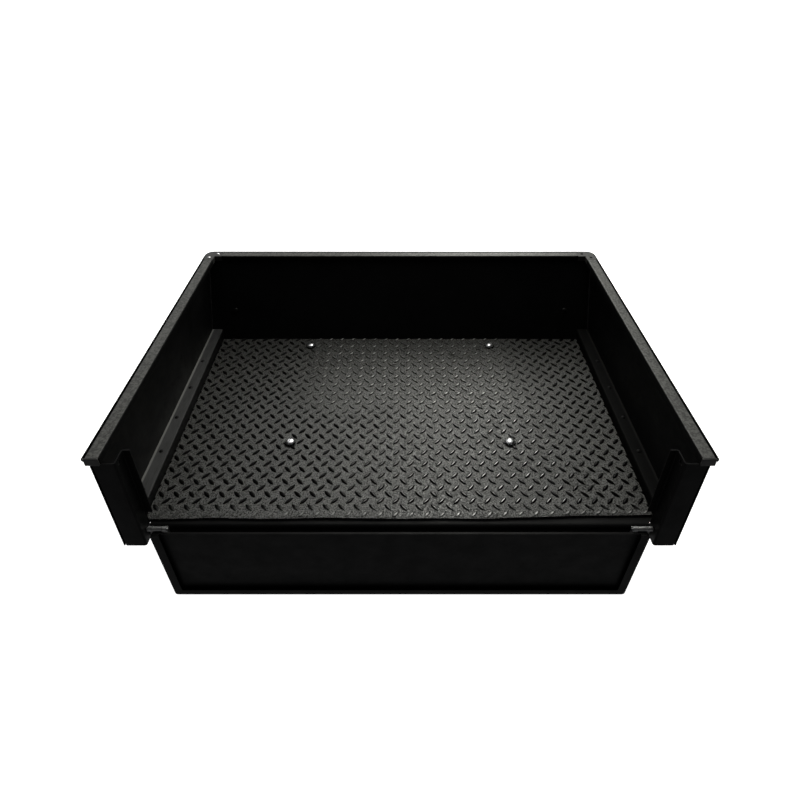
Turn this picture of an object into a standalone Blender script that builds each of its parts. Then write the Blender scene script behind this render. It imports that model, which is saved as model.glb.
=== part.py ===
"""Small steel utility bed with a tread-plate rubber floor liner and a drop-down tailgate.

+X is to the right, +Y towards the headboard, +Z up.  The origin is on the underside of the
centre cross member, where the bed is bolted down.  The tailgate hangs open.
"""
import math

import bmesh
import bpy
from mathutils import Matrix, Vector

GAP = 0.0003

# Liner mat
MAT_WIDTH = 1.050
MAT_LENGTH = 0.600
MAT_THICK = 0.006

# Under-frame
FRAME_HEIGHT = 0.030
FRAME_SHEET = 0.003
RUNNER_X = 0.2615
RUNNER_WEB = 0.044
RUNNER_FLANGE = 0.018
RUNNER_LENGTH = 0.590
CROSS_MEMBER_WIDTH = 0.050
CROSS_MEMBER_Y = 0.235

# Floor and walls
FLOOR_THICK = 0.003
NOSE_REACH = 0.014
NOSE_RADIUS = 0.007
WALL_INNER_X = 0.561
WALL_THICK = 0.0025
SKIRT_Z = 0.004
RAIL_ABOVE_MAT = 0.227
RAIL_WIDTH = 0.027
RAIL_DEPTH = 0.016
RAIL_SHEET = 0.002
RAIL_OVERHANG = 0.0195
CAP_ARM = 0.047
CAP_RADIUS = 0.018
HEADBOARD_GAP = 0.010
HEADBOARD_LEAN = 0.094

# Ledges along the side walls
LEDGE_ABOVE_MAT = 0.0215
LEDGE_SHEET = 0.002
MAT_SIDE_GAP = 0.002
LEDGE_SCREW_PITCH = 0.105
LEDGE_SCREWS = 5

# Rear posts
POST_INNER_X = 0.5165
POST_REACH = 0.037
POST_SHEET = 0.0025
JAMB_WIDTH = 0.014
JAMB_ABOVE_MAT = 0.030

# Tailgate
GATE_HALF_WIDTH = 0.506
GATE_HEIGHT = 0.234
GATE_THICK = 0.0095
GATE_SHEET = 0.0018
GATE_LIP = 0.018
GATE_HEM = 0.0045
GATE_CORNER = 0.006
GATE_LIFT = 0.003
GATE_OFFSET = 0.005
GATE_STOP_GAP = 0.0008
GATE_AXIS_BEHIND_NOSE = 0.0068
GATE_AXIS_BELOW_MAT = 0.004
GATE_HANG_DEG = 182.9

# Tailgate hinges
HINGE_X = 0.494
HINGE_LENGTH = 0.040
HINGE_LEAF = 0.002
KNUCKLE_RADIUS = 0.005
PIN_RADIUS = 0.0025

# Slide latches on the tailgate
LATCH_X = 0.477
LATCH_LENGTH = 0.050
LATCH_UP = 0.205
LATCH_BEHIND = 0.004
LATCH_TRAVEL = 0.020
LATCH_BOLT_RADIUS = 0.004
LATCH_HOLE_RADIUS = 0.0052

# Fasteners
MAT_BOLT_X = 0.2615
MAT_BOLT_Y = {"front": 0.2704, "rear": -0.0956}
MAT_BOLT_HEAD = 0.0108
MAT_BOLT_DOME = 0.0062
MAT_BOLT_SHANK = 0.004
MAT_BOLT_HOLE = 0.0046
HEADBOARD_BOLT_X = 0.490
HEADBOARD_BOLT_ABOVE_MAT = 0.073
HEADBOARD_BOLT_SHANK = 0.003
HEADBOARD_BOLT_HOLE = 0.0036
LEDGE_SCREW_SHANK = 0.002
LEDGE_SCREW_HOLE = 0.0026

# Levels that follow from the sizes above
FLOOR_BOTTOM = FRAME_HEIGHT + GAP
FLOOR_TOP = FLOOR_BOTTOM + FLOOR_THICK
MAT_BOTTOM = FLOOR_TOP + GAP
MAT_TOP = MAT_BOTTOM + MAT_THICK
RAIL_TOP = MAT_TOP + RAIL_ABOVE_MAT
RAIL_BOTTOM = RAIL_TOP - RAIL_DEPTH
WALL_TOP = RAIL_TOP - RAIL_SHEET - GAP
LEDGE_TOP = MAT_TOP + LEDGE_ABOVE_MAT
MAT_REAR = -MAT_LENGTH / 2
MAT_FRONT = MAT_LENGTH / 2
NOSE_Y = MAT_REAR - NOSE_REACH
POST_REAR = MAT_REAR - POST_REACH
HEADBOARD_FOOT = MAT_FRONT + HEADBOARD_GAP
HEADBOARD_HEAD = HEADBOARD_FOOT + HEADBOARD_LEAN
BEND_TOP = RAIL_BOTTOM - 0.003
RAIL_INNER_X = WALL_INNER_X - RAIL_OVERHANG
RAIL_OUTER_X = RAIL_INNER_X + RAIL_WIDTH
RAIL_INNER_Y = HEADBOARD_HEAD - 0.004
RAIL_OUTER_Y = RAIL_INNER_Y + RAIL_WIDTH
GATE_AXIS_Y = NOSE_Y - GATE_AXIS_BEHIND_NOSE
GATE_AXIS_Z = MAT_TOP - GATE_AXIS_BELOW_MAT
JAMB_Y = GATE_AXIS_Y + GATE_OFFSET + GATE_THICK + GATE_STOP_GAP

SIDES = {"left": -1, "right": 1}


def clear_scene():
    for obj in list(bpy.data.objects):
        bpy.data.objects.remove(obj, do_unlink=True)


def make_material(name, colour, roughness, metallic=0.0):
    material = bpy.data.materials.new(name)
    material.use_nodes = True
    shader = material.node_tree.nodes["Principled BSDF"]
    shader.inputs["Base Color"].default_value = (*colour, 1.0)
    shader.inputs["Roughness"].default_value = roughness
    shader.inputs["Metallic"].default_value = metallic
    return material


def add_object(name, bm, material=None, parent=None, smooth=False):
    """Turn a bmesh into an object: a part if it has a material, a hidden cutter if not."""
    bmesh.ops.recalc_face_normals(bm, faces=bm.faces)
    mesh = bpy.data.meshes.new(name)
    bm.to_mesh(mesh)
    bm.free()
    obj = bpy.data.objects.new(name, mesh)
    obj.parent = parent
    if smooth:
        mesh.shade_smooth()
        mesh.set_sharp_from_angle(angle=math.radians(35))
    if material:
        mesh.materials.append(material)
        PARTS.objects.link(obj)
    else:
        obj.hide_render = True
        obj.display_type = "WIRE"
        CUTTERS.objects.link(obj)
    return obj


def add_bevel(obj, width, segments=2):
    bevel = obj.modifiers.new("rounded_edges", "BEVEL")
    bevel.width = width
    bevel.segments = segments
    bevel.limit_method = "ANGLE"
    bevel.angle_limit = math.radians(50)


def combine(obj, other, operation):
    boolean = obj.modifiers.new(operation.lower(), "BOOLEAN")
    boolean.operation = operation
    boolean.solver = "EXACT"
    boolean.object = other


def cuboid(bm, low, high):
    size = Vector(high) - Vector(low)
    centre = (Vector(high) + Vector(low)) / 2
    bmesh.ops.create_cube(bm, size=1.0, matrix=Matrix.Translation(centre) @ Matrix.Diagonal((*size, 1.0)))


def box(name, low, high, material=None, parent=None):
    bm = bmesh.new()
    cuboid(bm, low, high)
    return add_object(name, bm, material, parent)


def turn_to(axis):
    """Rotation that lays a shape made along +Z along another axis."""
    return Vector((0, 0, 1)).rotation_difference(Vector(axis)).to_matrix().to_4x4()


def cylinders(name, centres, radius, length, axis=(0, 0, 1), material=None, parent=None, sides=20):
    """One mesh of equal cylinders, one at each centre."""
    bm = bmesh.new()
    for centre in centres:
        bmesh.ops.create_cone(
            bm, cap_ends=True, segments=sides, radius1=radius, radius2=radius, depth=length,
            matrix=Matrix.Translation(centre) @ turn_to(axis))
    return add_object(name, bm, material, parent, smooth=True)


def drill(obj, centres, radius, length, axis=(0, 0, 1), parent=None):
    cutter = cylinders(obj.name + "_holes", centres, radius, length, axis, parent=parent)
    combine(obj, cutter, "DIFFERENCE")


def turned(name, profile, location, material, axis=(0, 0, 1), steps=24):
    """A profile of (radius, height) points, listed from the top down, turned about the axis."""
    bm = bmesh.new()
    points = [bm.verts.new((radius, 0, height)) for radius, height in profile]
    for first, second in zip(points, points[1:]):
        bm.edges.new((first, second))
    obj = add_object(name, bm, material)
    obj.matrix_basis = Matrix.Translation(location) @ turn_to(axis)
    screw = obj.modifiers.new("turned", "SCREW")
    screw.steps = steps
    screw.render_steps = steps
    screw.use_merge_vertices = True
    screw.merge_threshold = 0.00005
    screw.use_smooth_shade = True
    return obj


def filleted(points, radius, steps=4):
    """The open path through the points, with each inner corner rounded to the radius."""
    points = [Vector(point) for point in points]
    path = [points[0]]
    for before, corner, after in zip(points, points[1:], points[2:]):
        to_before = (before - corner).normalized()
        to_after = (after - corner).normalized()
        half = to_before.angle(to_after) / 2
        centre = corner + (to_before + to_after).normalized() * radius / math.sin(half)
        start = corner + to_before * radius / math.tan(half) - centre
        end = corner + to_after * radius / math.tan(half) - centre
        sweep = start.angle(end)
        for step in range(steps + 1):
            share = step / steps
            blend = start * math.sin((1 - share) * sweep) + end * math.sin(share * sweep)
            path.append(centre + blend / math.sin(sweep))
    path.append(points[-1])
    return path


def placed(along, u, v, w):
    """The point with coordinates u and v across an axis, and w along it."""
    return {"X": (w, u, v), "Y": (u, w, v), "Z": (u, v, w)}[along]


def prism(name, outline, start, end, along, material=None):
    """A flat closed outline drawn out along an axis from start to end."""
    bm = bmesh.new()
    face = bm.faces.new([bm.verts.new(placed(along, u, v, start)) for u, v in outline])
    drawn = bmesh.ops.extrude_face_region(bm, geom=[face])["geom"]
    moved = [item for item in drawn if isinstance(item, bmesh.types.BMVert)]
    bmesh.ops.translate(bm, verts=moved, vec=placed(along, 0, 0, end - start))
    return add_object(name, bm, material, smooth=True)


def bent_sheet(name, path, start, end, along, thickness, material):
    """A sheet whose mid-line follows a 2D path, drawn out along an axis from start to end."""
    bm = bmesh.new()
    points = [bm.verts.new(placed(along, u, v, start)) for u, v in path]
    edges = [bm.edges.new(pair) for pair in zip(points, points[1:])]
    drawn = bmesh.ops.extrude_edge_only(bm, edges=edges)["geom"]
    moved = [item for item in drawn if isinstance(item, bmesh.types.BMVert)]
    bmesh.ops.translate(bm, verts=moved, vec=placed(along, 0, 0, end - start))
    obj = add_object(name, bm, material, smooth=True)
    solidify = obj.modifiers.new("sheet", "SOLIDIFY")
    solidify.thickness = thickness
    solidify.offset = 0
    solidify.use_even_offset = True
    return obj


def rounded_outline(corners, steps=4):
    """A closed 2D outline from (x, y, radius) corners, listed anticlockwise."""
    outline = []
    count = len(corners)
    for index, (x, y, radius) in enumerate(corners):
        if radius == 0:
            outline.append(Vector((x, y)))
            continue
        before = corners[index - 1][:2]
        after = corners[(index + 1) % count][:2]
        outline.extend(filleted([before, (x, y), after], radius, steps)[1:-1])
    return outline


def rectangle(half_width, low, high, radius):
    return rounded_outline([
        (-half_width, low, radius), (half_width, low, radius),
        (half_width, high, radius), (-half_width, high, radius)])


def shell_rings(name, rings, thickness, material, parent=None):
    """An open shell: the first ring is filled, and each ring is joined to the next."""
    bm = bmesh.new()
    loops = [[bm.verts.new(point) for point in ring] for ring in rings]
    bm.faces.new(loops[0])
    for upper, lower in zip(loops, loops[1:]):
        for index in range(len(upper)):
            bm.faces.new((upper[index], upper[index - 1], lower[index - 1], lower[index]))
    obj = add_object(name, bm, material, parent, smooth=True)
    solidify = obj.modifiers.new("shell", "SOLIDIFY")
    solidify.thickness = thickness
    solidify.offset = -1
    solidify.use_even_offset = True
    return obj


def dome(radius, height, steps=5):
    """Profile of a domed head from its crown down to its rim."""
    return [
        (radius * math.sin(math.pi / 2 * step / steps), height * math.cos(math.pi / 2 * step / steps))
        for step in range(steps + 1)]


def make_under_frame():
    half_web = RUNNER_WEB / 2 - FRAME_SHEET / 2
    top = FRAME_HEIGHT - FRAME_SHEET / 2
    bottom = FRAME_SHEET / 2
    flange = half_web + RUNNER_FLANGE
    for side, sign in SIDES.items():
        middle = sign * RUNNER_X
        hat = filleted(
            [(middle - flange, bottom), (middle - half_web, bottom), (middle - half_web, top),
             (middle + half_web, top), (middle + half_web, bottom), (middle + flange, bottom)],
            0.004, 3)
        half = RUNNER_LENGTH / 2
        runner = bent_sheet(f"{side}_frame_runner", hat, -half, half, "Y", FRAME_SHEET, STEEL_BLACK)
        drill(runner, [(middle, y, FRAME_HEIGHT) for y in MAT_BOLT_Y.values()], MAT_BOLT_HOLE, 0.020)
    reach = RUNNER_X - flange - GAP
    for place, y in {"rear": -CROSS_MEMBER_Y, "centre": 0.0, "front": CROSS_MEMBER_Y}.items():
        tube = box(
            f"{place}_cross_member",
            (-reach, y - CROSS_MEMBER_WIDTH / 2, 0), (reach, y + CROSS_MEMBER_WIDTH / 2, FRAME_HEIGHT),
            STEEL_BLACK)
        hollow = box(
            f"{place}_cross_member_hollow",
            (-reach - 0.01, y - CROSS_MEMBER_WIDTH / 2 + FRAME_SHEET, FRAME_SHEET),
            (reach + 0.01, y + CROSS_MEMBER_WIDTH / 2 - FRAME_SHEET, FRAME_HEIGHT - FRAME_SHEET))
        combine(tube, hollow, "DIFFERENCE")


def mat_bolt_places():
    return {
        f"{place}_{side}": (sign * MAT_BOLT_X, y)
        for place, y in MAT_BOLT_Y.items() for side, sign in SIDES.items()}


def make_floor():
    """Floor sheet with its rear edge rolled down into a rounded nose, notched for the posts."""
    middle = FLOOR_TOP - FLOOR_THICK / 2
    nose = NOSE_Y + FLOOR_THICK / 2
    path = filleted([(HEADBOARD_FOOT - 0.0005, middle), (nose, middle), (nose, SKIRT_Z)], NOSE_RADIUS, 6)
    half = WALL_INNER_X - GAP
    floor = bent_sheet("floor_panel", path, -half, half, "X", FLOOR_THICK, STEEL_BLACK)
    drill(floor, [(x, y, FLOOR_TOP) for x, y in mat_bolt_places().values()], MAT_BOLT_HOLE, 0.020)
    for side, sign in SIDES.items():
        edges = sorted((sign * (POST_INNER_X - 0.0015), sign * 0.6))
        notch = box(
            f"floor_panel_{side}_notch", (edges[0], POST_REAR - 0.02, -0.02),
            (edges[1], MAT_REAR - 0.0021, 0.06))
        combine(floor, notch, "DIFFERENCE")


def make_headboard():
    """Headboard sheet: upright skirt, leaning face and an upright edge inside the rail."""
    half_sheet = WALL_THICK / 2
    path = filleted(
        [(HEADBOARD_FOOT + half_sheet, SKIRT_Z), (HEADBOARD_FOOT + half_sheet, MAT_BOTTOM),
         (HEADBOARD_HEAD + half_sheet, BEND_TOP), (HEADBOARD_HEAD + half_sheet, WALL_TOP)],
        0.006)
    half = WALL_INNER_X - GAP
    headboard = bent_sheet("headboard", path, -half, half, "X", WALL_THICK, STEEL_BLACK)
    lean = Vector((HEADBOARD_LEAN, BEND_TOP - MAT_BOTTOM)).normalized()
    outward = (0, lean.y, -lean.x)
    height = MAT_TOP + HEADBOARD_BOLT_ABOVE_MAT
    depth = HEADBOARD_FOOT + (height - MAT_BOTTOM) * lean.x / lean.y
    face = {side: Vector((sign * HEADBOARD_BOLT_X, depth, height)) for side, sign in SIDES.items()}
    drill(headboard, list(face.values()), HEADBOARD_BOLT_HOLE, 0.030, outward)
    inward = -Vector(outward)
    for side, point in face.items():
        shank = HEADBOARD_BOLT_SHANK
        turned(
            f"headboard_bolt_{side}", dome(0.008, 0.004, 4) + [(shank, 0), (shank, -0.014), (0, -0.014)],
            point + inward * GAP, SCREW_STEEL, inward, steps=16)
        nut_centre = point - inward * (WALL_THICK + 0.0028)
        nut = cylinders(f"headboard_nut_{side}", [nut_centre], 0.006, 0.005, outward, ZINC, sides=6)
        drill(nut, [nut_centre], shank + GAP, 0.012, outward)


def make_side_walls():
    """Flat side walls whose front edge follows the lean of the headboard."""
    beyond = WALL_THICK + 0.005
    outline = [
        (POST_REAR, SKIRT_Z), (HEADBOARD_FOOT + beyond, SKIRT_Z), (HEADBOARD_FOOT + beyond, MAT_BOTTOM),
        (HEADBOARD_HEAD + beyond, BEND_TOP), (HEADBOARD_HEAD + beyond, WALL_TOP), (POST_REAR, WALL_TOP)]
    for side, sign in SIDES.items():
        prism(
            f"{side}_side_wall", outline, sign * WALL_INNER_X, sign * (WALL_INNER_X + WALL_THICK), "X",
            STEEL_BLACK)


def make_ledges():
    """Angle-shaped ledge along each wall, screwed down on a square side sill."""
    inner = MAT_WIDTH / 2 + MAT_SIDE_GAP
    outer = WALL_INNER_X - GAP
    rear = MAT_REAR - 0.002
    front = HEADBOARD_FOOT + 0.030
    foot = HEADBOARD_FOOT - 0.0012
    beyond = HEADBOARD_HEAD + 0.1
    leaning = [
        (foot, 0), (beyond, 0), (beyond, BEND_TOP), (foot + HEADBOARD_LEAN, BEND_TOP), (foot, MAT_BOTTOM)]
    headboard_side = prism("ledge_end_cut", leaning, -0.7, 0.7, "X")
    sill_top = LEDGE_TOP - LEDGE_SHEET - GAP
    screw_x = (inner + outer) / 2 + 0.002
    screw_y = [(index - (LEDGE_SCREWS - 1) / 2) * LEDGE_SCREW_PITCH - 0.037 for index in range(LEDGE_SCREWS)]
    for side, sign in SIDES.items():
        places = [(sign * screw_x, y, LEDGE_TOP) for y in screw_y]
        path = filleted(
            [(sign * outer, LEDGE_TOP - LEDGE_SHEET / 2),
             (sign * (inner + LEDGE_SHEET / 2), LEDGE_TOP - LEDGE_SHEET / 2),
             (sign * (inner + LEDGE_SHEET / 2), MAT_BOTTOM)],
            0.003, 3)
        ledge = bent_sheet(f"{side}_ledge", path, rear, front, "Y", LEDGE_SHEET, STEEL_LEDGE)
        combine(ledge, headboard_side, "DIFFERENCE")
        drill(ledge, places, LEDGE_SCREW_HOLE, 0.012)
        edges = sorted((sign * (inner + LEDGE_SHEET + 0.0015), sign * outer))
        sill = box(
            f"{side}_side_sill", (edges[0], rear, MAT_BOTTOM), (edges[1], front, sill_top), STEEL_BLACK)
        hollow = box(
            f"{side}_side_sill_hollow", (edges[0] + 0.002, rear - 0.01, MAT_BOTTOM + 0.002),
            (edges[1] - 0.002, front + 0.01, sill_top - 0.002))
        combine(sill, hollow, "DIFFERENCE")
        combine(sill, headboard_side, "DIFFERENCE")
        drill(sill, places, LEDGE_SCREW_HOLE, 0.012)
        for index, place in enumerate(places):
            shank = LEDGE_SCREW_SHANK
            profile = dome(0.0048, 0.0022, 3) + [(shank, 0), (shank, -0.010), (0, -0.0115)]
            turned(
                f"ledge_screw_{side}_{index + 1}", profile, Vector(place) + Vector((0, 0, GAP)),
                SCREW_STEEL, steps=12)


def channel(centre, along_y, top):
    """Mid-line of a rail: a channel open at the bottom."""
    half = RAIL_WIDTH / 2 - RAIL_SHEET / 2
    upper = top - RAIL_SHEET / 2
    points = [(centre - half, RAIL_BOTTOM), (centre - half, upper), (centre + half, upper),
              (centre + half, RAIL_BOTTOM)]
    return filleted(points if along_y else points[::-1], 0.003, 3)


def elbow(sign, end_x, end_y, inset):
    """Outline of the rail's front corner, with a rounded outer corner, drawn in by the inset."""
    corners = [
        (RAIL_INNER_X + inset, end_y, 0), (RAIL_OUTER_X - inset, end_y, 0),
        (RAIL_OUTER_X - inset, RAIL_OUTER_Y - inset, CAP_RADIUS - inset),
        (end_x, RAIL_OUTER_Y - inset, 0), (end_x, RAIL_INNER_Y + inset, 0),
        (RAIL_INNER_X + inset, RAIL_INNER_Y + inset, 0)]
    return [(sign * x, y) for x, y in rounded_outline(corners, 6)]


def make_rails():
    seam_x = RAIL_OUTER_X - CAP_ARM
    seam_y = RAIL_OUTER_Y - CAP_ARM
    middle_y = (RAIL_INNER_Y + RAIL_OUTER_Y) / 2
    bent_sheet(
        "headboard_rail", channel(middle_y, False, RAIL_TOP), -seam_x + GAP, seam_x - GAP, "X",
        RAIL_SHEET, RAIL_GREY)
    for side, sign in SIDES.items():
        middle_x = sign * (RAIL_INNER_X + RAIL_OUTER_X) / 2
        bent_sheet(
            f"{side}_top_rail", channel(middle_x, True, RAIL_TOP), POST_REAR, seam_y - GAP, "Y",
            RAIL_SHEET, RAIL_GREY)
        edges = sorted((sign * RAIL_INNER_X, sign * RAIL_OUTER_X))
        cap = box(
            f"{side}_rail_end_cap", (edges[0], POST_REAR - GAP - 0.004, RAIL_BOTTOM - 0.001),
            (edges[1], POST_REAR - GAP, RAIL_TOP + 0.0005), PLASTIC)
        add_bevel(cap, 0.0015)
        corner_cap = prism(
            f"{side}_corner_cap", elbow(sign, seam_x, seam_y, 0), RAIL_BOTTOM, RAIL_TOP, "Z", PLASTIC)
        hollow = prism(
            f"{side}_corner_cap_hollow", elbow(sign, seam_x - 0.01, seam_y - 0.01, RAIL_SHEET),
            RAIL_BOTTOM - 0.01, RAIL_TOP - RAIL_SHEET, "Z")
        combine(corner_cap, hollow, "DIFFERENCE")


def make_rear_posts():
    """Bent-sheet posts that the tailgate closes between, with a jamb lip and a latch hole."""
    half = POST_SHEET / 2
    jamb_y = JAMB_Y + half
    for side, sign in SIDES.items():
        path = filleted(
            [(sign * (POST_INNER_X - JAMB_WIDTH), jamb_y), (sign * (POST_INNER_X + half), jamb_y),
             (sign * (POST_INNER_X + half), POST_REAR + half),
             (sign * (WALL_INNER_X - GAP - half), POST_REAR + half),
             (sign * (WALL_INNER_X - GAP - half), JAMB_Y - 0.004)],
            0.003, 3)
        post = bent_sheet(
            f"{side}_rear_post", path, SKIRT_Z, RAIL_BOTTOM - GAP, "Z", POST_SHEET, STEEL_BLACK)
        edges = sorted((sign * (POST_INNER_X - JAMB_WIDTH - 0.01), sign * (WALL_INNER_X - 0.006)))
        foot = box(
            f"{side}_rear_post_foot", (edges[0], JAMB_Y - 0.0002, 0.0),
            (edges[1], MAT_REAR + 0.02, MAT_TOP + JAMB_ABOVE_MAT))
        combine(post, foot, "DIFFERENCE")
        drill(
            post, [(sign * POST_INNER_X, GATE_AXIS_Y - LATCH_BEHIND, GATE_AXIS_Z + LATCH_UP)],
            LATCH_HOLE_RADIUS, 0.020, (1, 0, 0))


def make_mat():
    mat = box(
        "bed_mat", (-MAT_WIDTH / 2, MAT_REAR, MAT_BOTTOM), (MAT_WIDTH / 2, MAT_FRONT, MAT_TOP), RUBBER)
    drill(mat, [(x, y, MAT_TOP) for x, y in mat_bolt_places().values()], MAT_BOLT_HOLE, 0.030)


def make_mat_bolts():
    """Domed carriage bolts through mat, floor and runner, with washer and nut below."""
    shank = MAT_BOLT_SHANK
    under_web = FRAME_HEIGHT - FRAME_SHEET - GAP
    washer = 0.0016
    nut = 0.0065
    end = under_web - washer - nut - 0.004
    for place, (x, y) in mat_bolt_places().items():
        head_seat = MAT_TOP + GAP
        profile = dome(MAT_BOLT_HEAD, MAT_BOLT_DOME) + [
            (shank, 0), (shank, end - head_seat + 0.0008), (shank - 0.0008, end - head_seat),
            (0, end - head_seat)]
        turned(f"mat_bolt_{place}", profile, (x, y, head_seat), CHROME)
        ring = cylinders(
            f"mat_washer_{place}", [(x, y, under_web - washer / 2)], 0.0085, washer, material=ZINC)
        drill(ring, [(x, y, under_web)], shank + 0.0004, 0.02)
        nut_z = under_web - washer - GAP - nut / 2
        hexagon = cylinders(f"mat_nut_{place}", [(x, y, nut_z)], 0.0075, nut, material=ZINC, sides=6)
        drill(hexagon, [(x, y, nut_z)], shank + GAP, 0.02)


def make_hinges(axis):
    """Two butt hinges: bed leaf on the floor's nose, gate leaf on the tailgate, and a pin."""
    segment = HINGE_LENGTH / 4
    leaf_reach = 0.026
    for side, sign in SIDES.items():
        x = sign * HINGE_X
        pivot = Vector((x, GATE_AXIS_Y, GATE_AXIS_Z))
        bed_leaf = box(
            f"hinge_bed_leaf_{side}",
            (x - HINGE_LENGTH / 2, NOSE_Y - GAP - HINGE_LEAF, GATE_AXIS_Z - leaf_reach),
            (x + HINGE_LENGTH / 2, NOSE_Y - GAP, GATE_AXIS_Z), ZINC)
        ends = [pivot + Vector((offset, 0, 0)) for offset in (-1.5 * segment, 1.5 * segment)]
        knuckles = cylinders(f"bed_knuckles_{side}", ends, KNUCKLE_RADIUS, segment - 0.0005, (1, 0, 0))
        middle_gap = box(
            f"bed_leaf_{side}_gap", pivot - Vector((segment, 0.02, KNUCKLE_RADIUS + 0.001)),
            pivot + Vector((segment, 0.02, 0.02)))
        combine(bed_leaf, middle_gap, "DIFFERENCE")
        combine(bed_leaf, knuckles, "UNION")
        drill(bed_leaf, [pivot], PIN_RADIUS + GAP, 0.08, (1, 0, 0))

        gate_leaf = box(
            f"hinge_gate_leaf_{side}",
            (x - segment + 0.0005, GATE_OFFSET - GAP - HINGE_LEAF, 0),
            (x + segment - 0.0005, GATE_OFFSET - GAP, leaf_reach + 0.008), ZINC, axis)
        gate_knuckle = cylinders(
            f"gate_knuckle_{side}", [(x, 0, 0)], KNUCKLE_RADIUS, 2 * segment - 0.001, (1, 0, 0), parent=axis)
        combine(gate_leaf, gate_knuckle, "UNION")
        drill(gate_leaf, [(x, 0, 0)], PIN_RADIUS + GAP, 0.08, (1, 0, 0), axis)

        cylinders(
            f"hinge_pin_{side}", [pivot], PIN_RADIUS, HINGE_LENGTH + 0.003, (1, 0, 0), ZINC, sides=16)


def make_tailgate(axis):
    """Pressed tray open to the side that faces the load: lips on three edges, a hem at the hinges."""
    low = GATE_LIFT
    high = GATE_LIFT + GATE_HEIGHT
    back = GATE_OFFSET
    front = GATE_OFFSET + GATE_THICK
    outer = rectangle(GATE_HALF_WIDTH, low, high, GATE_CORNER)
    lip = rectangle(
        GATE_HALF_WIDTH - GATE_LIP, low + GATE_LIP, high - GATE_LIP, GATE_CORNER / 2)
    rings = [
        [(x, back, z) for x, z in outer],
        [(x, front, z) for x, z in outer],
        [(x, front, z) for x, z in lip]]
    tray = shell_rings("tailgate_panel", rings, GATE_SHEET, STEEL_BLACK, axis)
    clear = GATE_HALF_WIDTH - GATE_LIP
    hinge_edge = box(
        "tailgate_hinge_edge", (-clear, back + GATE_HEM, low - 0.01),
        (clear, front + 0.01, low + GATE_LIP + 0.002), parent=axis)
    combine(tray, hinge_edge, "DIFFERENCE")


def make_latches(axis):
    """A slide bolt in a housing at each end of the tailgate's outer face, drawn back at rest."""
    handle_back = 0.007
    for side, sign in SIDES.items():
        centre = Vector((sign * LATCH_X, -LATCH_BEHIND, LATCH_UP))
        housing = box(
            f"latch_housing_{side}", centre - Vector((LATCH_LENGTH / 2, 0.006, 0.011)),
            centre + Vector((LATCH_LENGTH / 2, LATCH_BEHIND + GATE_OFFSET - GAP, 0.011)), PLASTIC, axis)
        drill(housing, [centre], LATCH_BOLT_RADIUS + GAP, 0.1, (1, 0, 0), axis)
        slot_start = centre.x - sign * (handle_back + 0.0035)
        slot_end = slot_start + sign * (LATCH_TRAVEL + 0.007)
        edges = sorted((slot_start, slot_end))
        slot = box(
            f"latch_slot_{side}", (edges[0], centre.y - 0.02, centre.z - 0.0035),
            (edges[1], centre.y, centre.z + 0.0035), parent=axis)
        combine(housing, slot, "DIFFERENCE")

        tip = GATE_HALF_WIDTH - 0.003
        tail = LATCH_X - LATCH_LENGTH / 2 - LATCH_TRAVEL - 0.004
        middle = sign * (tip + tail) / 2
        rod = cylinders(
            f"latch_bolt_{side}", [(middle - centre.x, 0, 0)], LATCH_BOLT_RADIUS, tip - tail, (1, 0, 0),
            ZINC, axis)
        rod.location = centre
        handle = cylinders(
            f"latch_handle_{side}", [(-sign * handle_back, -0.009, 0)], 0.003, 0.018, (0, 1, 0), parent=axis)
        handle.location = centre
        combine(rod, handle, "UNION")


clear_scene()
PARTS = bpy.data.collections.new("utility_bed_with_liner")
CUTTERS = bpy.data.collections.new("cutters")
bpy.context.scene.collection.children.link(PARTS)
bpy.context.scene.collection.children.link(CUTTERS)

STEEL_BLACK = make_material("black_powder_coat", (0.012, 0.012, 0.013), 0.45)
STEEL_LEDGE = make_material("ledge_powder_coat", (0.020, 0.020, 0.021), 0.40)
RAIL_GREY = make_material("grey_rail", (0.10, 0.098, 0.094), 0.42)
PLASTIC = make_material("grey_black_plastic", (0.06, 0.06, 0.06), 0.50)
RUBBER = make_material("charcoal_rubber", (0.030, 0.030, 0.029), 0.55)
CHROME = make_material("bright_bolt", (0.75, 0.75, 0.76), 0.18, 1.0)
ZINC = make_material("zinc_plate", (0.55, 0.55, 0.56), 0.35, 1.0)
SCREW_STEEL = make_material("dark_screw", (0.10, 0.10, 0.10), 0.40, 1.0)

HINGE_FRAME = bpy.data.objects.new("tailgate_hinge_axis", None)
HINGE_FRAME.location = (0, GATE_AXIS_Y, GATE_AXIS_Z)
HINGE_FRAME.rotation_euler = (math.radians(GATE_HANG_DEG), 0, 0)
CUTTERS.objects.link(HINGE_FRAME)

make_under_frame()
make_floor()
make_headboard()
make_side_walls()
make_ledges()
make_rails()
make_rear_posts()
make_mat()
make_mat_bolts()
make_hinges(HINGE_FRAME)
make_tailgate(HINGE_FRAME)
make_latches(HINGE_FRAME)
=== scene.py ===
"""Looks of the small utility bed with its tread-plate rubber liner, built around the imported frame."""

import math

import bmesh
import bpy
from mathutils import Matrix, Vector, noise


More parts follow.
